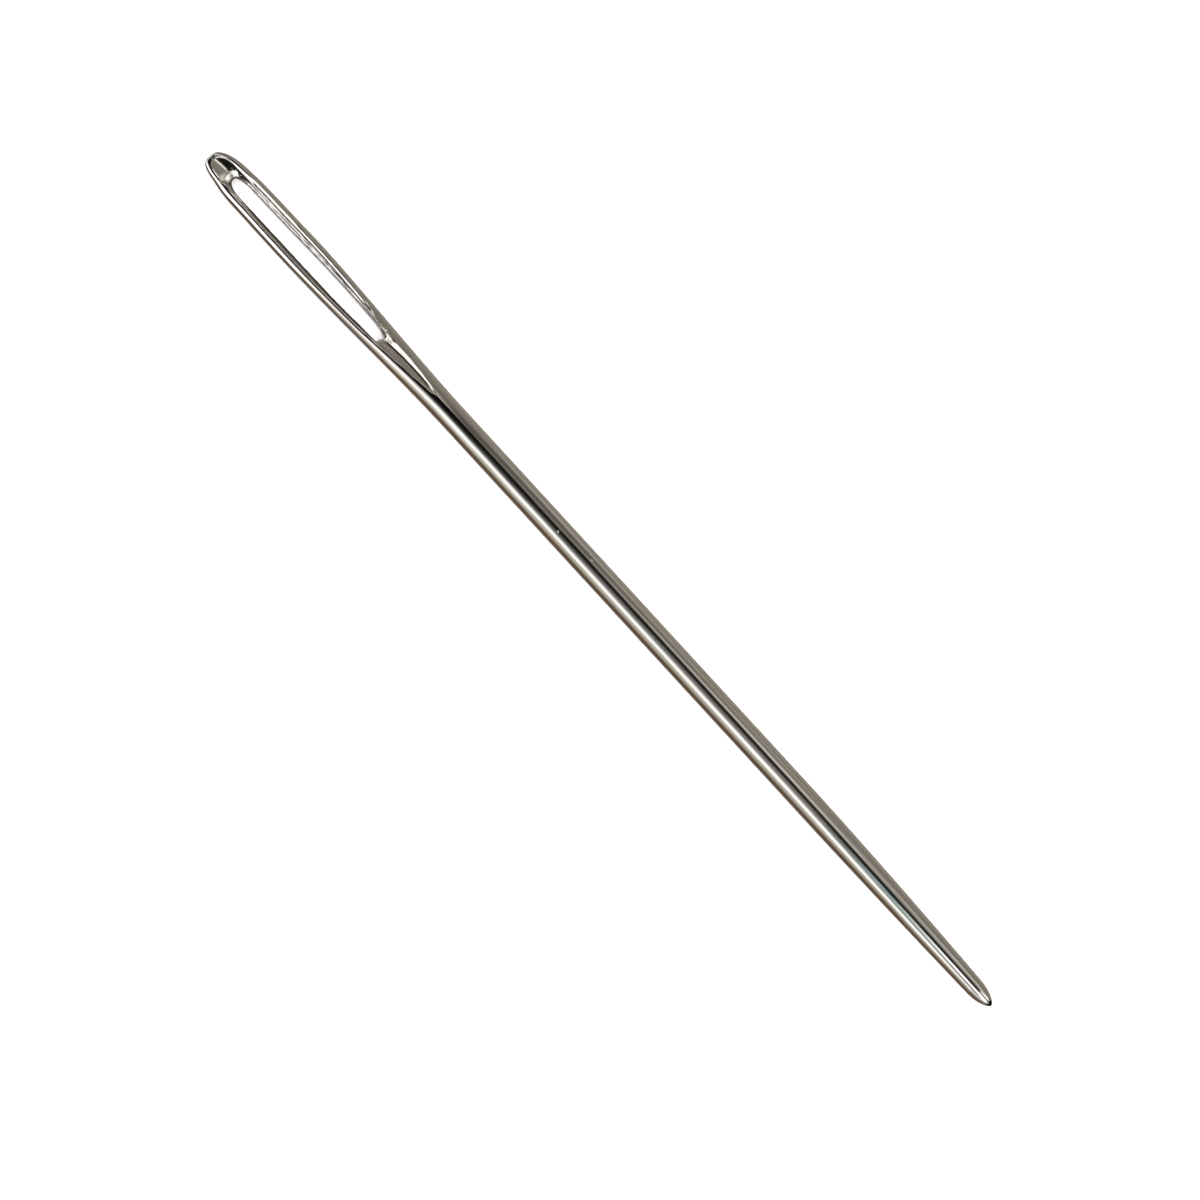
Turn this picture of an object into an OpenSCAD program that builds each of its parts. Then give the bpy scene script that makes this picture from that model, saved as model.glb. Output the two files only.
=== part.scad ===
// Yarn needle: one length of steel wire with a flattened, gutter-pressed head,
// a long pierced eye and a blunt ground point. Millimetres.
// X runs along the needle, eye towards -X and point towards +X. Z = 0 is the table.
// The wire is one piece. Its modules are the zones of that piece, laid end to end
// and meeting face to face: crown, the eye's two sides, throat, shank and point.

/* [Overall] */
// Length from the crown of the head to the end of the point
needle_len = 70; // [60:1:90]
// Diameter of the round shank
shank_d = 1.7; // [1.4:0.05:2]

/* [Head] */
// Widest part of the flattened head
head_w = 2.46; // [2.2:0.02:2.8]
// Thickness that the head would have across its middle, before the gutters
head_t = 1.44; // [1.2:0.02:1.6]
// Length over which the wire is pressed out of round
head_len = 22; // [20:0.5:26]
// Squareness of the head's section, where 2 is an ellipse
head_square = 2.6; // [2.2:0.1:3]

/* [Eye] */
// Width of the pierced slot
eye_w = 1.02; // [0.7:0.02:1.1]
// Length of the pierced slot, end to end
eye_len = 13.2; // [8:0.2:14]
// Metal left between the crown's end and the slot
crown_len = 2.02; // [1.5:0.1:3]

/* [Gutters] */
// Where the gutter ends on the shank, from the crown's end
gutter_end = 20; // [18:0.5:21]
// Half width of the gutter as a share of the head's half width
gutter_share = 0.73; // [0.5:0.01:0.76]
// Depth of the crease below the gutter's rims, as a share of its half width
gutter_depth = 0.37; // [0.2:0.01:0.4]
// How far the crease lies off the middle, as a share of the half width
crease_shift = 0.3; // [0:0.05:0.4]

/* [Point] */
// Length of the gentle taper ahead of the nose
taper_len = 15.2; // [10:0.2:20]
// Diameter at the shoulder of the nose
nose_d = 1.2; // [0.9:0.05:1.4]
// Length of the blunt round nose
nose_len = 1.65; // [1:0.05:2.5]

/* [Hidden] */

shank_r = shank_d / 2;
half_w = head_w / 2;
half_t = head_t / 2;
x_crown = -needle_len / 2;
x_nose = needle_len / 2 - nose_len;
x_taper = x_nose - taper_len;
x_shank = x_crown + head_len;
eye_r = eye_w / 2;
eye_from = crown_len + eye_r;            // the slot's round ends are centred here
eye_to = crown_len + eye_len - eye_r;    // and here, from the crown's end
crown_run = 6;     // the outline swells over this length behind the crown's end
crown_edge = 1.2;  // the crown thins over this length, seen from the side
rim = 0.2;         // thin rim left round the gutter at the crown
side_n = 6;        // steps from the widest point of a side up to the gutter's rim
steel = [0.74, 0.72, 0.68];

function clamp01(u) = min(1, max(0, u));
function smooth(u) = let (v = clamp01(u)) v * v * (3 - 2 * v);
// Rises from 0 at u = 0 to 1 at u = 1 as the quarter of a superellipse does.
function quarter(u, p) = pow(1 - pow(1 - clamp01(u), p), 1 / p);
function between(a, b, k) = [for (i = [0 : k]) a + (b - a) * i / k];

// The head's section at s mm from the crown's end: half width, half thickness
// and squareness of its outline
function wide(s) =
    quarter(s / crown_run, 3)
    * (half_w + (shank_r - half_w) * smooth((s - 7) / (head_len - 7)));
function thick(s) =
    quarter(s / crown_edge, 2.2)
    * (half_t + (shank_r - half_t) * smooth((s - 13) / (head_len - 13)));
function square_of(s) = head_square + (2 - head_square) * smooth((s - 13) / (head_len - 13));
// Half width of the gutter: it opens behind the crown's rim and closes on the shank.
function gutter(s) =
    s <= rim || s >= gutter_end ? 0.02
    : max(0.02, wide(s) * gutter_share * quarter((s - rim) / 1.1, 3)
        * (1 - pow(clamp01((s - 6) / (gutter_end - 6)), 4)));
function dip(s) = s <= rim || s >= gutter_end ? 0 : gutter_depth * gutter(s);

// Points from the widest point of the section up to the gutter's rim
function flank(s) =
    let (n = square_of(s), a = acos(pow(gutter(s) / wide(s), n / 2)))
    [
        for (i = [0 : side_n])
            let (b = a * i / side_n)
            [wide(s) * pow(cos(b), 2 / n), thick(s) * pow(sin(b), 2 / n)]
    ];
function flip(points) = [for (i = [len(points) - 1 : -1 : 0]) points[i]];
function over(points, y, z) = [for (p = points) [p[0] * y, p[1] * z]];
function but_first(points) = [for (i = [1 : len(points) - 1]) points[i]];

// Whole section: a flank, the crease, the other flank, and the same below
function ring(s) =
    let (q = flank(s), crease = [crease_shift * gutter(s), q[side_n][1] - dip(s)])
    concat(
        q, [crease], over(flip(q), -1, 1),
        but_first(over(q, -1, -1)), [over([crease], 1, -1)[0]], flip(but_first(over(q, 1, -1)))
    );

// Section of one side of the eye: a flank, then the gutter's slope down to the slot
function side_ring(s, y) =
    let (
        q = over(flank(s), y, 1),
        g = gutter(s),
        slope = dip(s) / (g - y * crease_shift * g),
        lip = [y * eye_r, q[side_n][1] - slope * (g - eye_r)],
        top = concat(q, [lip])
    )
    concat(top, flip(but_first(over(top, 1, -1))));

// A closed skin over rings that all have the same number of points. way is 1 for
// rings that run from +Y over the top, and -1 for their mirror image.
module skin(xs, rings, way = 1) {
    m = len(rings[0]);
    k = len(rings);
    faces = [
        for (j = [1 : m - 2]) [0, j, j + 1],
        for (i = [0 : k - 2]) for (j = [0 : m - 1])
            let (j2 = (j + 1) % m)
            each [
                [i * m + j, (i + 1) * m + j2, i * m + j2],
                [i * m + j, (i + 1) * m + j, (i + 1) * m + j2]
            ],
        for (j = [1 : m - 2]) [(k - 1) * m, (k - 1) * m + j + 1, (k - 1) * m + j]
    ];
    polyhedron(
        points = [for (i = [0 : k - 1]) for (p = rings[i]) [x_crown + xs[i], p[0], p[1]]],
        faces = way > 0 ? faces : [for (f = faces) flip(f)],
        convexity = 6
    );
}

module wire() {
    color(steel) translate([0, 0, shank_r]) children();
}

module along_x(x) {
    translate([x, 0, 0]) rotate([0, 90, 0]) children();
}

// Round end of the pierced slot
module slot_end(s) {
    translate([x_crown + s, 0, -2]) cylinder(h = 4, r = eye_r, $fn = 48);
}

// Rounded end of the head, with the start of the gutters and of the slot
module crown() {
    s = concat([for (i = [0 : 8]) 0.01 + 1.75 * (1 - cos(i * 10))], between(1.9, eye_from, 2));
    wire()
        difference() {
            skin([for (i = [0 : len(s) - 1]) i == 0 ? 0 : s[i]], [for (v = s) ring(v)]);
            slot_end(eye_from);
        }
}

module eye_side(y) {
    s = between(eye_from, eye_to, 12);
    wire() skin(s, [for (v = s) side_ring(v, y)], y);
}

// Side of the eye towards +Y
module eye_side_left() {
    eye_side(1);
}

// Side of the eye towards -Y
module eye_side_right() {
    eye_side(-1);
}

// From the slot's end to the round shank, with the gutters running out. Its last
// ring is a hair smaller than the shank, so that it lies inside the shank's end face.
module throat() {
    s = concat(between(eye_to, gutter_end + 0.1, 8), between(gutter_end + 0.1, head_len, 2));
    t = [for (i = [0 : len(s) - 1]) if (i != 9) s[i]];
    wire()
        difference() {
            skin(t, [for (v = t) v == head_len ? ring(v) * 0.994 : ring(v)]);
            slot_end(eye_to);
        }
}

// Straight round part of the wire
module shank() {
    wire() along_x(x_shank) cylinder(h = x_taper - x_shank, r = shank_r, $fn = 96);
}

// Gentle taper and blunt nose, turned round the wire's axis
module point() {
    nose_r = nose_d / 2;
    wire()
        along_x(x_taper)
            rotate_extrude($fn = 96)
                polygon([
                    [0, 0],
                    for (i = [0 : 12])
                        let (u = i / 12)
                        [shank_r + (nose_r - shank_r) * pow(u, 1.7), taper_len * u],
                    for (i = [1 : 12])
                        let (e = sin(90 * i / 12))
                        [
                            i == 12 ? 0 : nose_r * pow(1 - pow(e, 1.8), 1 / 1.8),
                            taper_len + nose_len * e
                        ]
                ]);
}

crown();
eye_side_left();
eye_side_right();
throat();
shank();
point();
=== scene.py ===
"""Looks of the yarn needle: one polished, plated wire with a stamped head, on a plain pale floor in soft studio light."""

import math

import bpy
import numpy as np
from mathutils import Matrix, Vector, noise


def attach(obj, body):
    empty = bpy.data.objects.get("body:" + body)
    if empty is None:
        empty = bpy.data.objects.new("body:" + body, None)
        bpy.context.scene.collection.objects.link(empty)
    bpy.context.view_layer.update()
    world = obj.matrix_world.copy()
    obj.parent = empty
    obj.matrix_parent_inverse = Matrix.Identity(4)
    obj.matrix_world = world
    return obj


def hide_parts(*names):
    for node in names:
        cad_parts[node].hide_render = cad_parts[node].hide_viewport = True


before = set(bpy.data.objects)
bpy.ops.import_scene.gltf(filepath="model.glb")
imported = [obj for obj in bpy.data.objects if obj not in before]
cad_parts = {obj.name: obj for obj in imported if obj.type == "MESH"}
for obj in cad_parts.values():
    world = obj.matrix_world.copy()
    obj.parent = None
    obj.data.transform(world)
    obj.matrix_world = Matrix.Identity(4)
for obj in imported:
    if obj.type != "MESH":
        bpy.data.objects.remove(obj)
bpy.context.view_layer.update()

MM = 0.001

# ---------------------------------------------------------------- camera
LENGTH = 70.0
SCALE = 16.4914  # frame pixels for each millimetre of the needle, in a frame of 1200
TILT = math.radians(8.0)  # the camera leans this far from straight overhead, towards -Y
ROLL = math.radians(47.4265)  # the needle's slant in the frame
DISTANCE = 300.0

to_camera = Vector((0.0, -math.sin(TILT), math.cos(TILT)))
along = Vector((1.0, 0.0, 0.0))
across = Vector((0.0, math.cos(TILT), math.sin(TILT)))
right = math.cos(ROLL) * along + math.sin(ROLL) * across
up = -math.sin(ROLL) * along + math.cos(ROLL) * across
anchor = Vector((-0.6185, 0.0, 0.85))  # this point of the axis ...
seen_at = (-0.287, 1.700)  # ... shows this far right of and above the frame's centre
centre = anchor - right * seen_at[0] - up * seen_at[1]

cam_data = bpy.data.cameras.new("camera")
cam = bpy.data.objects.new("camera", cam_data)
bpy.context.scene.collection.objects.link(cam)
cam_data.type = "PERSP"
cam_data.sensor_width = 36.0
cam_data.lens = 36.0 * DISTANCE * SCALE / 1200.0
cam_data.clip_start = 0.01
cam_data.clip_end = 10.0
place = (centre + to_camera * DISTANCE) * MM
cam.matrix_world = Matrix(
    (
        (right.x, up.x, to_camera.x, place.x),
        (right.y, up.y, to_camera.y, place.y),
        (right.z, up.z, to_camera.z, place.z),
        (0, 0, 0, 1),
    )
)
bpy.context.scene.camera = cam

# ---------------------------------------------------------------- shape, in millimetres
SHANK_R = 0.85
HALF_W, HALF_T = 1.23, 0.72
HEAD = 22.0  # the wire is pressed out of round over this length
GUTTER_A, GUTTER_END = 0.28, 20.0
EYE_A, EYE_B = 2.02, 15.22  # ends of the slot, from the crown's end
NOSE_R, NOSE_LEN, TAPER_LEN = 0.6, 1.65, 15.2


def clamp01(u):
    return np.clip(u, 0.0, 1.0)


def smooth(u):
    v = clamp01(u)
    return v * v * (3 - 2 * v)


def quarter(u, p):
    return (1 - (1 - clamp01(u)) ** p) ** (1.0 / p)


def smin(a, b, k):
    """Minimum of a and b, rounded over k."""
    h = np.maximum(k - np.abs(a - b), 0.0) / np.maximum(k, 1e-9)
    return np.minimum(a, b) - h * h * k * 0.25


def wide(s):
    head = quarter(s / 6.0, 3) * (
        HALF_W + (SHANK_R - HALF_W) * smooth((s - 7) / (HEAD - 7))
    )
    u = clamp01((s - (LENGTH - NOSE_LEN - TAPER_LEN)) / TAPER_LEN)
    taper = SHANK_R + (NOSE_R - SHANK_R) * u**1.7
    e = clamp01((s - (LENGTH - NOSE_LEN)) / NOSE_LEN)
    nose = NOSE_R * np.maximum(1 - e**1.8, 0.0) ** (1 / 1.8)
    return np.where(
        s < HEAD,
        head,
        np.where(s < LENGTH - NOSE_LEN, taper, nose),
    )


def thick(s):
    crown = 0.5 * quarter(s / 0.16, 2.2) + (HALF_T - 0.5) * smooth(s / 3.4)
    head = crown + (SHANK_R - HALF_T) * smooth((s - 13) / (HEAD - 13))
    return np.where(s < HEAD, head, wide(s))


def squareness(s):
    return 2.6 - 0.6 * smooth((s - 13) / (HEAD - 13)) + 1.6 * (1 - smooth(s / 1.4))


def gutter(s):
    """Half width of the gutter at the rims."""
    g = (
        wide(s)
        * 0.73
        * quarter((s - GUTTER_A) / 0.7, 3)
        * (1 - clamp01((s - 6) / (GUTTER_END - 6)) ** 4)
    )
    return np.where((s <= GUTTER_A) | (s >= GUTTER_END), 0.0, np.maximum(g, 0.0))


def rims(s):
    """Distance of the gutter's rim from the middle, towards +Y and towards -Y."""
    g = gutter(s)
    m, m_l = smooth((s - 13) / 1.6), smooth((s - 14) / 1.1)
    left = 0.37 + 0.03 * smooth((s - 15.1) / 0.9) - 0.055 * np.maximum(s - 17.0, 0)
    left = left * quarter((GUTTER_END - s) / 2.0, 2)
    right = (0.66 - 0.098 * (s - 14.4)) * quarter((GUTTER_END - s) / 0.7, 2)
    return np.maximum(g + (left - g) * m_l, 0.0), np.maximum(g + (right - g) * m, 0.0)


TIP_A, TIP_B = -0.02, 0.03  # where the slot's two edges meet, across the needle


def slot_edge(s, sign):
    """The slot's edge on one side, towards +Y for sign 1; its far end is skewed."""
    drift = (s - EYE_A) / (EYE_B - EYE_A)
    if sign > 0:
        full = 0.39 + 0.08 * drift - 0.09 * smooth((s - 11) / 3.5)
        far = quarter((EYE_B - s) / 1.6, 2.3)
    else:
        full = -0.55 + 0.06 * drift + 0.12 * smooth((s - 10.8) / 4.4)
        far = quarter((EYE_B - s) / 0.15, 1.25)
    near = quarter((s - EYE_A) / 1.15, 2.3)
    tip = TIP_A + (TIP_B - TIP_A) * drift
    return tip + (full - tip) * near * far


def lean(s):
    """How far the section's centre strays from the needle's axis, across it."""
    crown = -0.21 * np.exp(-np.maximum(s, 0) / 0.9) * (1 - smooth((s - 1) / 4))
    tip = -0.11 * clamp01((s - 52) / 17) ** 1.5
    return crown + tip


def settle(s, y):
    """How far a point of the head lies off the symmetrical outline, behind the crown's end."""
    left = -0.065 * smooth((s - 1.0) / 1.6) * (1 - smooth((s - 5.0) / 5.0))
    right = -0.05 * smooth((s - 1.2) / 1.2) * (1 - smooth((s - 2.4) / 2.0))
    return left * smooth((y + 0.1) / 0.4) + right * smooth((-y - 0.7) / 0.35)


def outline(s, y):
    """Height of the unpressed section's surface above the needle's axis."""
    w, t, n = wide(s), thick(s), squareness(s)
    return t * np.maximum(1 - (np.abs(y) / np.maximum(w, 1e-9)) ** n, 0.0) ** (1 / n)


# the slot's outline as points, to measure how far a point of a face lies from it
_a = 0.5 * (1 - np.cos(np.linspace(0, math.pi, 700)))
_s = EYE_A + (EYE_B - EYE_A) * _a
RIM_PTS = np.concatenate(
    [np.stack([_s, slot_edge(_s, 1)], 1), np.stack([_s, slot_edge(_s, -1)], 1)]
)


def from_slot(s, y):
    """Distance from the slot's outline, and how much of it runs along the needle."""
    flat = np.stack([s.ravel(), y.ravel()], 1)
    d = np.full(len(flat), 50.0)
    lengthwise = np.zeros(len(flat))
    near = (flat[:, 0] > EYE_A - 3) & (flat[:, 0] < EYE_B + 3)
    idx = np.nonzero(near)[0]
    for part in np.array_split(idx, max(1, len(idx) // 4000)):
        p = flat[part]
        gap = p[:, None, :] - RIM_PTS[None, :, :]
        dist2 = (gap**2).sum(2)
        k = dist2.argmin(1)
        rows = np.arange(len(part))
        d[part] = np.sqrt(dist2[rows, k])
        lengthwise[part] = gap[rows, k, 0] / np.maximum(d[part], 1e-9)
    return d.reshape(s.shape), lengthwise.reshape(s.shape)


def grain(s, y, scale_s, scale_y, seed):
    """Smooth noise in [-1, 1] over a face, the same each run."""
    out = np.empty(s.size)
    for i, (a, b) in enumerate(zip(s.ravel(), y.ravel())):
        out[i] = noise.noise(Vector((a * scale_s, b * scale_y, seed)))
    return out.reshape(s.shape)


def smax(a, b, k):
    return -smin(-a, -b, k)


# nicks left by the dies: place along, place across, half length, half width, depth
NICKS = [
    (14.97, 0.50, 0.17, 0.14, -0.055),
    (15.35, 0.40, 0.10, 0.06, -0.03),
    (15.84, 0.41, 0.22, 0.06, 0.08),
    (1.62, 0.10, 0.07, 0.06, 0.05),
    (1.80, -0.10, 0.06, 0.06, 0.03),
]


def face_height(s, y, seed):
    """Height of a pressed face above the axis; how worked the metal is there; and the painted shade: a dark band
    along the slot's lip, a dark line in the crease behind the eye and one nick's dent.
    """
    e = outline(s, y)
    wave_s = np.zeros_like(s)
    wave_q = np.zeros_like(s)
    band = (s > 1.8) & (s < 15.5) & (y > 0.3) & (y < 0.95)
    if band.any():
        wave_s[band] = grain(s[band], y[band], 1.1, 0.3, seed + 31)
        wave_q[band] = grain(s[band], y[band], 4.5, 2.5, seed + 37)
    g_l, g_r = rims(s)
    z_l, z_r = outline(s, g_l), outline(s, g_r)
    # the rims: towards -Y a narrow land with a bevel inside it, towards +Y a thin land
    q_r, q_l = g_r + y, g_l - y
    c_r, c_l = outline(s, g_r + 0.05), outline(s, g_l + 0.05)
    land_r = c_r + 0.08 * (q_r + 0.05)
    land_l = c_l - 0.03 * (q_l + 0.05)
    # the crown's gutter: a flat facet, a tilted one, and steep low walls
    foot = 0.345
    tilted = foot - 0.22 * (y - 0.06) - 6.0 * np.maximum(0.08 - q_r, 0.0)
    floor_c = smax(tilted, foot + 0.05 * y, 0.035)
    bevel = c_r + 0.008 - 0.115 * (q_r - 0.05)
    wall_r = smin(smin(land_r, bevel, 0.006), c_r + 0.001 - 0.9 * (q_r - 0.11), 0.01)
    q_w = q_l - 0.03
    curve = c_l - 0.2 * q_w - 2.4 * np.maximum(q_w, 0.0) ** 2
    wall_l = smin(smin(land_l, curve, 0.004), c_l - 0.067 - 2.4 * (q_w - 0.13), 0.01)
    crown = smax(smax(floor_c, wall_r, 0.02), wall_l, 0.02)
    crown = smax(crown, 0.505 - 2.2 * (s - GUTTER_A), 0.02)
    # the long gutter behind it: a lopsided V, with a shelf beside the eye
    slope_l = 0.66 - 0.22 * smooth(1 - np.abs(s - 13.6) / 1.5)
    slope_l = slope_l + 0.12 * smooth((s - 15) / 1.0)
    slope_r = 0.27 + 0.09 * smooth((s - 14.5) / 1.0)
    thin = smooth((s - 6.2) / 1.0) * (1 - smooth((s - 14.0) / 0.8))
    face_l = z_l - slope_l * q_l
    face_l = face_l + (smin(land_l, c_l - 0.003 - slope_l * (q_l - 0.04), 0.006) - face_l) * thin
    face_r = smin(land_r, c_r + 0.008 - slope_r * (q_r - 0.05), 0.01)
    valley = smax(face_l, face_r, 0.035 + 0.045 * smooth((s - 14) / 1.5))
    eye = smooth((s - 2.0) / 1.5) * (1 - smooth((s - 13.6) / 1.2))
    q = g_l - y
    crest = 0.2 + 0.03 * wave_s
    ridge = smin(0.3 * (q - crest), -0.48 * (q - crest), 0.02) - 0.065 + 0.014 * wave_q
    beside = smax(valley, np.where(y > 0, z_l + ridge, -1.0), 0.006)
    valley = valley + (beside - valley) * eye
    floor = crown + (valley - crown) * smooth((s - 1.7) / 2.0)
    # towards the eye's far end the gutter runs out on the +Y side
    worn = smooth((s - 12.4) / 2.0) * (1 - smooth((s - 15.0) / 0.4)) * (y > 0)
    floor = floor + np.maximum(e - floor, 0.0) * worn
    k = np.where(y > 0, 0.03 - 0.023 * thin, 0.012)
    k = k + (0.012 - k) * (1 - smooth((s - 1.7) / 2.0))
    k = np.minimum(k, 0.02 + 0.3 * np.where(y > 0, g_l, g_r))
    z = np.where(s < GUTTER_END, smin(e, floor, np.maximum(k, 1e-4)), e)
    d, lengthwise = from_slot(s, y)
    side = np.sqrt(d / (0.16 + 0.04 * (y > 0) + 0.5 * clamp01(lengthwise) ** 1.5))
    wall = side + (0.17 * smooth(d / 0.05) + 0.42 * d - side) * smooth(-1.3 * lengthwise)
    zone = (s > EYE_A - 2.5) & (s < EYE_B + 2.5)
    lip = np.where(zone, smin(z, wall, 0.06), z)
    # the pierced edge stands up in an uneven bead, burnished here and there
    bead = np.zeros_like(s)
    pick = zone & (d < 0.45)
    if pick.any():
        ps, py, pd = s[pick], y[pick], d[pick]
        slow = grain(ps, py, 0.9, 0.6, seed)
        quick = grain(ps, py, 3.2, 5.0, seed + 5)
        fine = grain(ps, py, 9.0, 16.0, seed + 9)
        mid = 0.105 + 0.03 * slow
        size = np.where(py > 0, 0.012, 0.006) * clamp01(0.65 + 1.5 * quick + 0.6 * slow)
        size = size * smooth((ps - EYE_A - 0.2) / 0.8) * smooth((EYE_B + 0.3 - ps) / 0.8)
        hump = np.cos(0.5 * math.pi * np.clip((pd - mid) / 0.07, -1, 1)) ** 2
        band = smooth(pd / 0.04) * (1 - smooth((pd - 0.2) / 0.2)) * smooth((EYE_B + 0.2 - ps) / 0.3)
        bead[pick] = size * hump + band * (0.004 * quick + 0.003 * fine)
    out = lip + bead
    bridge = (s > 1.25) & (s < EYE_A + 0.2) & (np.abs(y) < 0.6)
    if bridge.any():
        bs, by = s[bridge], y[bridge]
        fade = smooth((bs - 1.25) / 0.2) * smooth((0.6 - np.abs(by)) / 0.2) * smooth(d[bridge] / 0.08)
        out[bridge] += fade * (
            0.020 * grain(bs, by, 3.6, 3.0, seed + 41) + 0.007 * grain(bs, by, 9.0, 8.0, seed + 43)
        )
    throat = (s > EYE_B - 1.0) & (s < GUTTER_END) & (np.abs(y) < 0.7)
    if throat.any():
        hs, hy = s[throat], y[throat]
        fade = smooth((hs - EYE_B + 1.0) / 0.6) * smooth((np.where(hy > 0, g_l[throat], g_r[throat]) - np.abs(hy)) / 0.08)
        out[throat] += fade * (
            0.014 * grain(hs, hy, 1.3, 5.0, seed + 51) + 0.007 * grain(hs, hy, 4.0, 10.0, seed + 53)
        )
    for ns, ny, hl, hw, dp in NICKS:
        rr = np.sqrt(((s - ns) / hl) ** 2 + ((y - ny) / hw) ** 2)
        out = out - dp * (1 - smooth(rr))
    g = np.where(y > 0, g_l, g_r)
    inside = np.where(g > 0.003, 1 - smooth((np.abs(y) / np.maximum(g, 1e-6) - 0.8) / 0.15), 0.0)
    worked = inside * smooth((s - 0.25) / 0.3)
    worked = worked * (0.3 + np.where(face_l > face_r, 0.0, 0.7) * smooth((s - 13.5) / 1.5))
    eye_mid = smooth((s - 3.0) / 2.0) * (1 - smooth((s - 14.5) / 0.8))
    # painted shade: a dark band along the slot's lip, where the pierced edge stands up
    shade_width = np.where(y > 0, 0.03, 0.06 + 0.10 * eye_mid) + 0.05 * clamp01(-1.5 * lengthwise)
    from_z = np.where(y > 0, 0.34, 0.2) - 0.3 * clamp01(-1.5 * lengthwise)
    painted_shade = np.where(zone, 0.85 * (1 - smooth((d - shade_width) / 0.06)) * smooth((out - from_z) / 0.1), 0.0)
    # painted shade in the crease behind the eye: a dark line along the valley
    crease_shade = (1 - smooth((np.abs(face_l - face_r + 0.03) - 0.035) / 0.075)) * smooth((s - EYE_B - 0.2) / 0.3)
    painted_shade = np.maximum(painted_shade, crease_shade * (1 - smooth((s - 19.0) / 0.6)) * (s < GUTTER_END))
    # painted shade in the dent of the third nick
    ns, ny, hl, hw, dp = NICKS[2]
    painted_shade = np.maximum(painted_shade, 1 - smooth(1.6 * np.sqrt(((s - ns) / hl) ** 2 + ((y - ny) / hw) ** 2) - 1.0))
    return np.maximum(out, 0.0), worked, painted_shade


# ---------------------------------------------------------------- mesh
K_IN, K_OUT = 34, 20  # steps from the middle or the slot to the rim, and on to the edge
M = K_IN + K_OUT


def spaced(a, b, n, dense):
    """n steps from a to b, close together at the ends named in dense."""
    u = np.linspace(0, 1, n + 1)
    if dense == "both":
        v = 0.5 * (1 - np.cos(math.pi * u))
    elif dense == "start":
        v = 1 - np.cos(0.5 * math.pi * u)
    elif dense == "end":
        v = np.sin(0.5 * math.pi * u)
    else:
        v = u
    return a + (b - a) * v


zones = [
    spaced(0.0002, 0.9, 30, "start"),
    spaced(0.9, EYE_A, 30, "end"),
    spaced(EYE_A, EYE_A + 1.4, 24, "start"),
    spaced(EYE_A + 1.4, EYE_B - 1.6, 90, ""),
    spaced(EYE_B - 1.6, EYE_B, 26, "end"),
    spaced(EYE_B, EYE_B + 1.2, 22, "start"),
    spaced(EYE_B + 1.2, 18.6, 26, ""),
    spaced(18.6, 20.4, 24, ""),
    spaced(20.4, HEAD, 5, ""),
    spaced(HEAD, LENGTH - NOSE_LEN - TAPER_LEN, 24, ""),
    spaced(LENGTH - NOSE_LEN - TAPER_LEN, LENGTH - NOSE_LEN, 26, ""),
    spaced(LENGTH - NOSE_LEN, LENGTH - 0.0003, 30, "end"),
]
st = np.concatenate([z if i == 0 else z[1:] for i, z in enumerate(zones)])
i_a = int(np.argmin(np.abs(st - EYE_A)))
i_b = int(np.argmin(np.abs(st - EYE_B)))
N = len(st)

share = np.maximum(gutter(st) / np.maximum(wide(st), 1e-9), 0.35)
share = share + (0.7 - share) * smooth((st - 20.2) / 2.5)
y_rim = share * wide(st)


def side_points(sign, seed):
    """Y and Z of one side of one face: station by step, from the middle or slot out to the edge."""
    in_slot = (st >= EYE_A) & (st <= EYE_B)
    near = smooth(st / EYE_A) * TIP_A
    far = (1 - smooth((st - EYE_B) / 4)) * TIP_B
    middle = np.where(st < EYE_A, near, far)
    inner = sign * np.where(in_slot, slot_edge(st, sign), middle)
    u = np.linspace(0, 1, K_IN + 1)
    f = 0.35 * u + 0.65 * u * u * (3 - 2 * u)
    y_in = inner[:, None] + (y_rim - inner)[:, None] * f[None, :]
    n = squareness(st)
    a0 = np.arccos(clamp01(share ** (n / 2)))
    v = np.linspace(0, 1, K_OUT + 1)[1:]
    v = 0.6 * v + 0.4 * v * v
    a = a0[:, None] * (1 - v[None, :])
    y_out = wide(st)[:, None] * np.cos(a) ** (2 / n)[:, None]
    y = np.concatenate([y_in, y_out], 1)
    s = np.repeat(st[:, None], M + 1, 1)
    z, worked, painted_shade = face_height(s, sign * y, seed)
    z_arc = thick(st)[:, None] * np.sin(a) ** (2 / n)[:, None]
    # near the edge the section is steep, so its height comes from the arc itself
    blend = smooth((v - 0.35) / 0.3)[None, :]
    z[:, K_IN + 1 :] = z[:, K_IN + 1 :] * (1 - blend) + z_arc * blend
    z[:, M] = 0.0
    y = sign * y
    return y + lean(st)[:, None] + settle(s, y), z, worked, painted_shade


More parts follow.
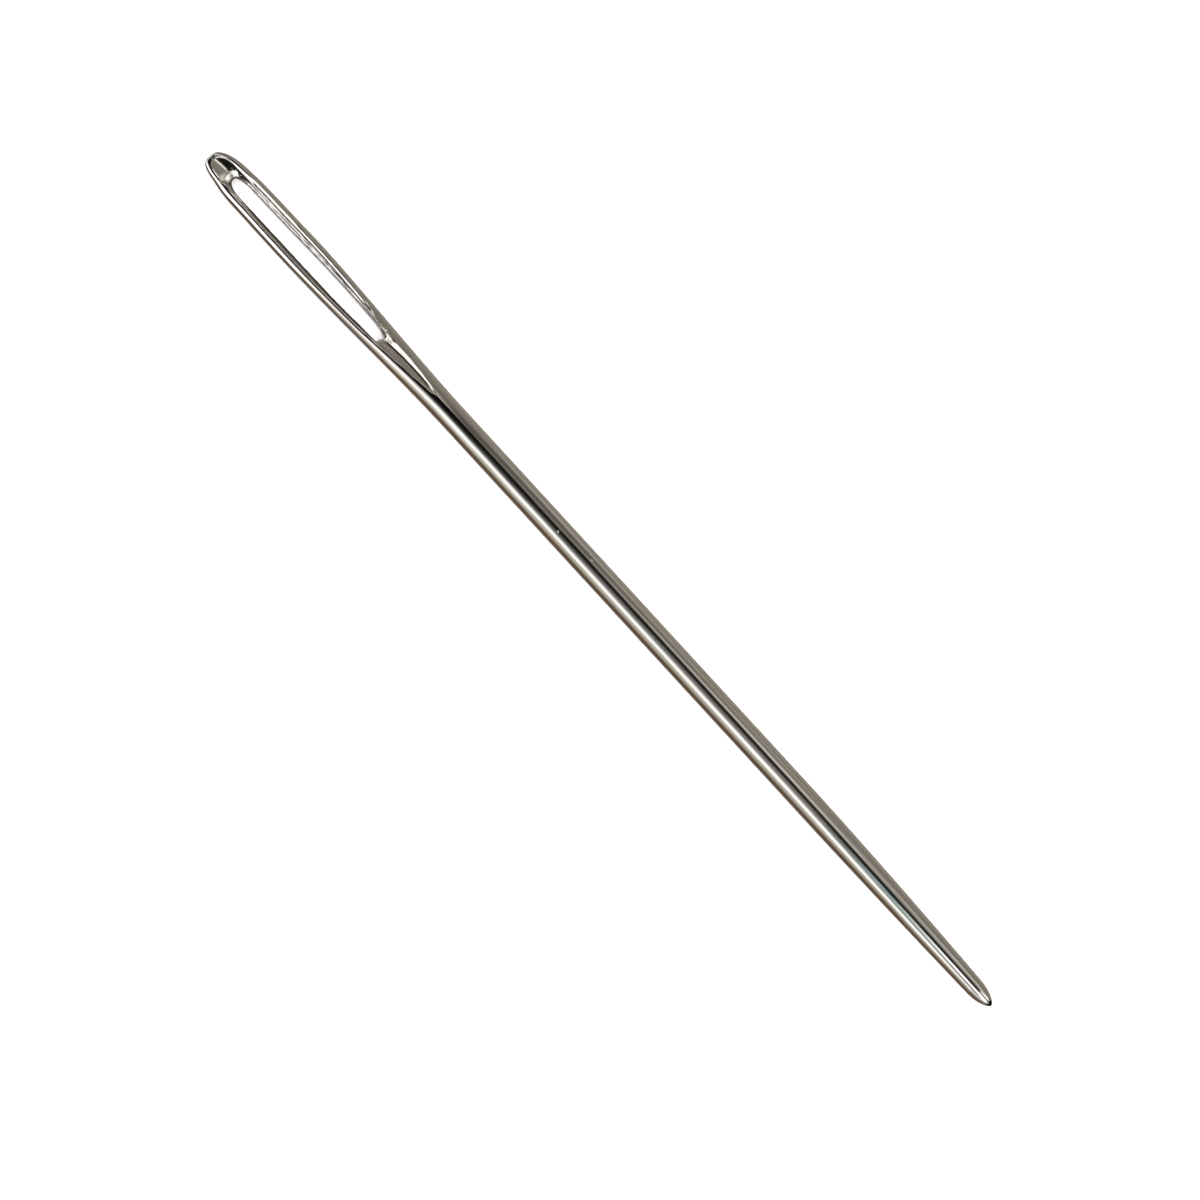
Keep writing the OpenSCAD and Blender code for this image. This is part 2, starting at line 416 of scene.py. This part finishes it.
verts, quads, press, painted_shades = [], [], [], []
index = {}
for face, up_down in (("t", 1.0), ("b", -1.0)):
    for side, sign in (("l", 1.0), ("r", -1.0)):
        y, z, worked, painted_shade = side_points(sign, 3.0 if face == "t" else 23.0)
        ids = np.zeros((N, M + 1), int)
        for i in range(N):
            in_slot = i_a <= i <= i_b
            for j in range(M + 1):
                if j == M:
                    key = (i, "edge", side)
                elif j == 0 and i in (i_a, i_b):
                    key = (i, "corner")
                elif j == 0 and in_slot:
                    key = (i, "slot", side)
                elif j == 0:
                    key = (i, "mid", face)
                else:
                    key = (i, face, side, j)
                if key not in index:
                    index[key] = len(verts)
                    zz = 0.0 if (j == M or (j == 0 and in_slot)) else z[i, j]
                    verts.append((st[i] - LENGTH / 2, y[i, j], SHANK_R + up_down * zz))
                    press.append(float(worked[i, j]))
                    # painted shade, faint, on the vertices along the slot's edge
                    painted_shades.append(0.1 if (j == 0 and in_slot) else float(painted_shade[i, j]))
                ids[i, j] = index[key]
        for i in range(N - 1):
            for j in range(M):
                q = [ids[i, j], ids[i + 1, j], ids[i + 1, j + 1], ids[i, j + 1]]
                if sign * up_down < 0:
                    q.reverse()
                quads.append(q)
        if face == "t" and side == "l":
            tl = ids
        elif face == "t":
            tr = ids
        elif side == "l":
            bl = ids
        else:
            br = ids

for i, x, way in ((0, -LENGTH / 2, 1), (N - 1, LENGTH / 2, -1)):
    ring = (
        list(tl[i, ::-1])
        + list(tr[i, 1:])
        + list(br[i, M - 1 :: -1])
        + list(bl[i, 1:M])
    )
    pole = len(verts)
    verts.append((x, float(lean(np.array([x + LENGTH / 2]))[0]), SHANK_R))
    press.append(0.0)
    painted_shades.append(0.0)
    for a, b in zip(ring, ring[1:] + ring[:1]):
        quads.append([a, b, pole] if way < 0 else [b, a, pole])

mesh = bpy.data.meshes.new("needle_wire")
mesh.from_pydata([tuple(c * MM for c in v) for v in verts], [], quads)
mesh.update()
mesh.polygons.foreach_set("use_smooth", [True] * len(mesh.polygons))
mark = mesh.attributes.new("worked", "FLOAT", "POINT")
mark.data.foreach_set("value", press)
# the painted shade along the lip, crease and dent, kept as an attribute for the base colour
mark = mesh.attributes.new("painted_shade", "FLOAT", "POINT")
mark.data.foreach_set("value", painted_shades)
needle = bpy.data.objects.new("needle_wire", mesh)
bpy.context.scene.collection.objects.link(needle)

# ---------------------------------------------------------------- plated steel
mat = bpy.data.materials.new("plated_steel")
mat.use_nodes = True
nt = mat.node_tree
nt.nodes.clear()


def node(kind, tree=None, **values):
    n = (tree or nt).nodes.new(kind)
    for name, value in values.items():
        setattr(n, name, value)
    return n


out = node("ShaderNodeOutputMaterial")
bsdf = node("ShaderNodeBsdfPrincipled")
bsdf.inputs["Metallic"].default_value = 1.0
nt.links.new(bsdf.outputs[0], out.inputs[0])
coord = node("ShaderNodeTexCoord")
worked_in = node("ShaderNodeAttribute", attribute_name="worked")
worked_fac = worked_in.outputs["Fac"]


def noise_at(scale, detail, seed=0.0):
    """Noise over the object: scale is in waves per metre along X, Y and Z."""
    place = node("ShaderNodeMapping")
    place.inputs["Location"].default_value = (seed, seed * 0.7, seed * 1.3)
    place.inputs["Scale"].default_value = scale
    nt.links.new(coord.outputs["Object"], place.inputs[0])
    n = node("ShaderNodeTexNoise")
    n.inputs["Scale"].default_value = 1.0
    n.inputs["Detail"].default_value = detail
    nt.links.new(place.outputs[0], n.inputs["Vector"])
    return n.outputs["Fac"]


def sum_of(*terms):
    """Weighted sum of (value, weight) pairs; a term may carry a second value as a factor."""
    total = None
    for value, weight in terms:
        m = node("ShaderNodeMath", operation="MULTIPLY")
        nt.links.new(value, m.inputs[0])
        if isinstance(weight, (int, float)):
            m.inputs[1].default_value = weight
        else:
            nt.links.new(weight, m.inputs[1])
        if total is None:
            total = m.outputs[0]
        else:
            add = node("ShaderNodeMath", operation="ADD")
            nt.links.new(total, add.inputs[0])
            nt.links.new(m.outputs[0], add.inputs[1])
            total = add.outputs[0]
    return total


def remap(value, a, b, c, d):
    m = node("ShaderNodeMapRange")
    nt.links.new(value, m.inputs["Value"])
    for name, v in (("From Min", a), ("From Max", b), ("To Min", c), ("To Max", d)):
        m.inputs[name].default_value = v
    return m.outputs["Result"]


drawn_fine = noise_at((260, 14000, 14000), 3.0)  # marks of the drawing die
drawn_wide = noise_at((170, 3600, 3600), 2.0, 3.0)
waves = noise_at((120, 900, 900), 1.0, 7.0)
cloud = noise_at((700, 2200, 2200), 4.0, 11.0)
stamped = noise_at((5200, 9000, 9000), 4.0, 5.0)  # grain of the pressed and pierced faces

tone = node("ShaderNodeMix", data_type="RGBA")
tone.inputs["A"].default_value = (0.82, 0.80, 0.77, 1)
tone.inputs["B"].default_value = (0.72, 0.705, 0.68, 1)
nt.links.new(remap(sum_of((cloud, 0.5), (drawn_wide, 0.5)), 0.35, 0.65, 0.0, 1.0), tone.inputs["Factor"])
# painted shade: dark brown mixed into the base colour along the slot's lip, in the crease behind the eye and in one
# nick's dent
painted_shade_in = node("ShaderNodeAttribute", attribute_name="painted_shade")
painted_shade_fac = painted_shade_in.outputs["Fac"]
shade_mix = node("ShaderNodeMix", data_type="RGBA")
shade_mix.inputs["B"].default_value = (0.07, 0.04, 0.025, 1)
nt.links.new(painted_shade_fac, shade_mix.inputs["Factor"])
nt.links.new(tone.outputs["Result"], shade_mix.inputs["A"])
nt.links.new(shade_mix.outputs["Result"], bsdf.inputs["Base Color"])

# small blisters in the plating: place along the needle and angle round it from overhead
specks = []
for sx, turn, size in ((-3.95, 8.0, 0.09), (-1.28, -15.0, 0.08), (25.41, -1.5, 0.07), (24.89, -2.5, 0.05), (8.3, 24.0, 0.05), (16.2, 40.0, 0.05)):
    ang = math.radians(turn)
    spot = (sx * MM, -math.sin(ang) * SHANK_R * MM, (1 + math.cos(ang)) * SHANK_R * MM)
    far_off = node("ShaderNodeVectorMath", operation="DISTANCE")
    nt.links.new(coord.outputs["Object"], far_off.inputs[0])
    far_off.inputs[1].default_value = spot
    specks.append((remap(far_off.outputs["Value"], 0.0, size * MM, 1.0, 0.0), 1.0))
blisters = sum_of(*specks)

rough = sum_of(
    (remap(drawn_fine, 0.35, 0.65, 0.07, 0.13), 1.0),
    (remap(stamped, 0.3, 0.7, 0.04, 0.20), worked_fac),
    (painted_shade_fac, 0.12),
    (blisters, 0.55),
)
nt.links.new(rough, bsdf.inputs["Roughness"])

height = sum_of(
    (drawn_fine, 0.12), (drawn_wide, 0.55), (waves, 1.6), (blisters, 9.0),
    (remap(stamped, 0.0, 1.0, 0.0, 3.2), worked_fac),
)
bump = node("ShaderNodeBump")
bump.inputs["Strength"].default_value = 1.0
bump.inputs["Distance"].default_value = 0.000001
nt.links.new(height, bump.inputs["Height"])
nt.links.new(bump.outputs["Normal"], bsdf.inputs["Normal"])
mesh.materials.append(mat)

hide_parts("crown", "eye_side_left", "eye_side_right", "throat", "shank", "point")
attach(needle, "root")

# ---------------------------------------------------------------- floor and backdrop
def plain(name, colour, glow=0.0):
    m = bpy.data.materials.new(name)
    m.use_nodes = True
    b = m.node_tree.nodes["Principled BSDF"]
    b.inputs["Base Color"].default_value = (*colour, 1)
    b.inputs["Roughness"].default_value = 0.9
    b.inputs["Specular IOR Level"].default_value = 0.2
    if glow:
        b.inputs["Emission Color"].default_value = (*colour, 1)
        b.inputs["Emission Strength"].default_value = glow
    return m


floor_mesh = bpy.data.meshes.new("floor")
floor_mesh.from_pydata([(-1, -1, 0), (1, -1, 0), (1, 1, 0), (-1, 1, 0)], [], [(0, 1, 2, 3)])
floor = bpy.data.objects.new("floor", floor_mesh)
floor_mesh.materials.append(plain("pale_floor", (0.9, 0.9, 0.9), 0.15))
bpy.context.scene.collection.objects.link(floor)
floor.visible_glossy = False

ring_n, dome_r = 48, 1.2
dome_v, dome_f = [], []
for k in range(13):
    e = math.radians(-10 + 100 * k / 12)
    for i in range(ring_n):
        a = 2 * math.pi * i / ring_n
        dome_v.append((dome_r * math.cos(e) * math.cos(a), dome_r * math.cos(e) * math.sin(a), dome_r * math.sin(e)))
for k in range(12):
    for i in range(ring_n):
        j = (i + 1) % ring_n
        dome_f.append((k * ring_n + i, k * ring_n + j, (k + 1) * ring_n + j, (k + 1) * ring_n + i))
dome_mesh = bpy.data.meshes.new("backdrop")
dome_mesh.from_pydata(dome_v, [], dome_f)
dome = bpy.data.objects.new("backdrop", dome_mesh)
dome_mesh.materials.append(plain("pale_backdrop", (0.0, 0.0, 0.0)))
b = dome_mesh.materials[0].node_tree.nodes["Principled BSDF"]
b.inputs["Emission Color"].default_value = (1, 1, 1, 1)
b.inputs["Emission Strength"].default_value = 1.05
bpy.context.scene.collection.objects.link(dome)
dome.visible_glossy = dome.visible_diffuse = dome.visible_shadow = False

# ---------------------------------------------------------------- soft studio light
lamp_data = bpy.data.lights.new("floor_light", "AREA")
lamp_data.shape = "SQUARE"
lamp_data.size = 0.9
lamp_data.energy = 14.0
lamp = bpy.data.objects.new("floor_light", lamp_data)
lamp.location = (0.0, 0.0, 0.7)
bpy.context.scene.collection.objects.link(lamp)
lamp.visible_glossy = False
lamp.visible_camera = False

world = bpy.data.worlds.new("studio")
bpy.context.scene.world = world
world.use_nodes = True
wt = world.node_tree
wt.nodes.clear()
w_out = node("ShaderNodeOutputWorld", wt)
w_bg = node("ShaderNodeBackground", wt)
wt.links.new(w_bg.outputs[0], w_out.inputs[0])
w_co = node("ShaderNodeTexCoord", wt)


def dot_with(v):
    n = node("ShaderNodeVectorMath", wt, operation="DOT_PRODUCT")
    wt.links.new(w_co.outputs["Generated"], n.inputs[0])
    n.inputs[1].default_value = v
    return n.outputs["Value"]


def maths(op, a, b=None):
    n = node("ShaderNodeMath", wt, operation=op)
    for i, x in enumerate((a, b)):
        if x is None:
            continue
        if isinstance(x, (int, float)):
            n.inputs[i].default_value = x
        else:
            wt.links.new(x, n.inputs[i])
    return n.outputs[0]


def step(x, a, b):
    """0 at a, rising smoothly to 1 at b."""
    n = node("ShaderNodeMapRange", wt, interpolation_type="SMOOTHSTEP")
    wt.links.new(x, n.inputs["Value"])
    n.inputs["From Min"].default_value = a
    n.inputs["From Max"].default_value = b
    return n.outputs["Result"]


def window(x, mid, half):
    return step(maths("ABSOLUTE", maths("SUBTRACT", x, mid)), half, 0.0)


def times(*values):
    total = values[0]
    for v in values[1:]:
        total = maths("MULTIPLY", total, v)
    return total


# direction in the room: turn round the needle in degrees, 0 overhead and positive
# towards -Y; reach along the needle, from -1 behind the eye to 1 beyond the point
turn = maths(
    "MULTIPLY",
    maths("ARCTAN2", dot_with(tuple(-across)), dot_with(tuple(to_camera))),
    180 / math.pi,
)
reach = dot_with((1, 0, 0))
aside = maths("ABSOLUTE", dot_with(tuple(across)))
rise = dot_with(tuple(to_camera))
left_of = dot_with(tuple(across))
eye_end = step(reach, -0.06, -0.09)

lights = []  # (level, tint)
# dull wall on the +Y side, darker near the eye's end
lights.append((times(step(turn, -17, -28), maths("SUBTRACT", 0.23, times(0.155, window(turn, -42, 42), step(reach, 0.03, -0.03), step(reach, -0.066, -0.047)))), (1.0, 0.90, 0.76)))
lights.append((times(step(turn, -90, -112), 0.10), (1.0, 0.88, 0.70)))
lights.append((times(window(turn, -42, 34), step(reach, 0.01, 0.07), 0.09), (0.95, 0.98, 1.0)))
# the pale floor seen under the horizon
lights.append((times(step(turn, 122, 152), 0.42), (0.90, 0.96, 1.05)))
lights.append((times(step(turn, -135, -160), 0.22), (0.90, 0.96, 1.05)))
# thin strip lights on that side
lights.append((times(window(turn, -86, 9), step(reach, -0.038, -0.026), step(reach, 0.03, -0.03), 0.32), (1.0, 0.99, 0.90)))
lights.append((times(window(turn, -77, 14), step(reach, -0.05, -0.03), step(reach, 0.09, 0.04), 0.15), (1.0, 0.99, 0.90)))
lights.append((times(window(turn, -36, 10), step(reach, -0.03, 0.04), step(reach, 0.112, 0.085), 0.56), (1.0, 0.98, 0.86)))
lights.append((times(window(turn, -48, 10), maths("ADD", times(0.22, step(reach, 0.10, 0.125)), times(0.40, step(reach, 0.135, 0.15)))), (1.0, 0.98, 0.86)))
lights.append((times(window(turn, -29, 11), step(reach, -0.06, -0.11), 1.0), (1.0, 0.99, 0.96)))
# softbox on the -Y side, its glow on the ceiling, and the wall below it
lights.append((times(step(turn, 3, 15), step(turn, 60, 40), maths("ADD", 0.05, times(0.05, step(reach, -0.05, 0.0)))), (0.97, 1.0, 1.0)))
lights.append((times(step(turn, -11, 6), step(turn, 60, 40), step(reach, -0.03, 0.0), step(reach, 0.13, 0.07), 0.12), (1.0, 0.98, 0.94)))
lights.append((times(step(turn, -10, -2), step(turn, 18, 6), window(reach, 0.06, 0.035), 0.08), (1.0, 0.62, 0.42)))
lights.append((times(step(turn, -4, 7), step(turn, 36, 22), step(reach, 0.085, 0.105), step(reach, 0.142, 0.13), 0.15), (0.30, 1.0, 1.0)))
late = maths("SUBTRACT", turn, times(8, step(reach, 0.06, 0.13)))
lights.append((times(step(late, 17, 44), step(maths("SUBTRACT", late, times(27, step(reach, -0.05, -0.075))), 60, 46), maths("ADD", 1.18, maths("SUBTRACT", times(0.45, step(reach, -0.05, -0.08)), times(0.55, step(reach, 0.13, 0.15))))), (1.0, 1.0, 0.995)))
lights.append((times(step(turn, 44, 54), step(turn, 108, 62), maths("SUBTRACT", 0.62, maths("ADD", times(0.55, eye_end), times(0.27, step(reach, 0.12, 0.15))))), (1.0, 0.93, 0.80)))
lights.append((times(step(turn, 84, 104), 0.12), (1.0, 0.60, 0.34)))
far_along = maths("ABSOLUTE", reach)
lights.append((times(step(turn, 84, 110), step(far_along, 0.35, 0.55), 0.22), (1.0, 0.97, 0.93)))
# small card beyond the point
lights.append((times(step(turn, -2, 8), step(turn, 30, 19), step(reach, 0.13, 0.142), 1.7), (1.0, 1.0, 1.0)))

total = None
for level, tint in lights:
    n = node("ShaderNodeVectorMath", wt, operation="SCALE")
    n.inputs[0].default_value = tint
    wt.links.new(level, n.inputs["Scale"])
    if total is None:
        total = n.outputs[0]
    else:
        add = node("ShaderNodeVectorMath", wt, operation="ADD")
        wt.links.new(total, add.inputs[0])
        wt.links.new(n.outputs[0], add.inputs[1])
        total = add.outputs[0]
# the bright ends of the room
end_wall = maths("ADD", times(step(reach, 0.1, -0.1), 0.3), times(step(rise, 0.22, 0.50), maths("ADD", 1.15, times(0.25, step(reach, 0.1, 0.3)))))
shade_from = maths("ADD", times(0.4, step(reach, -0.1, 0.1)), times(0.2, step(reach, 0.2, 0.35)))
end_wall = times(end_wall, maths("SUBTRACT", 1.0, times(0.85, step(maths("SUBTRACT", left_of, shade_from), 0.12, 0.45))))
thin_line = times(step(left_of, -0.02, 0.07), step(left_of, 0.31, 0.22), step(reach, 0.25, 0.35))
thick_line = times(step(left_of, -0.25, -0.05), step(left_of, 0.48, 0.30), step(reach, 0.72, 0.85))
dark_line = maths("MAXIMUM", thin_line, thick_line)
end_wall = times(end_wall, maths("SUBTRACT", 1.0, dark_line))
end_wall = maths("ADD", end_wall, times(step(rise, -0.25, -0.5), step(reach, 0.78, 0.70), 0.35))
end_col = node("ShaderNodeVectorMath", wt, operation="SCALE")
end_col.inputs[0].default_value = (1.0, 0.99, 0.97)
wt.links.new(end_wall, end_col.inputs["Scale"])
mix = node("ShaderNodeMix", wt, data_type="RGBA")
ahead = step(maths("SUBTRACT", aside, times(0.9, far_along)), 0.18, -0.02)
back = times(0.65, step(reach, -0.52, -0.62), step(rise, 0.1, 0.4))
wt.links.new(times(step(far_along, 0.33, 0.46), ahead, maths("SUBTRACT", 1.0, back)), mix.inputs["Factor"])
wt.links.new(total, mix.inputs["A"])
wt.links.new(end_col.outputs[0], mix.inputs["B"])
wt.links.new(mix.outputs["Result"], w_bg.inputs["Color"])
w_bg.inputs["Strength"].default_value = 1.0

scene = bpy.context.scene
scene.view_settings.view_transform = "Standard"
scene.view_settings.look = "None"
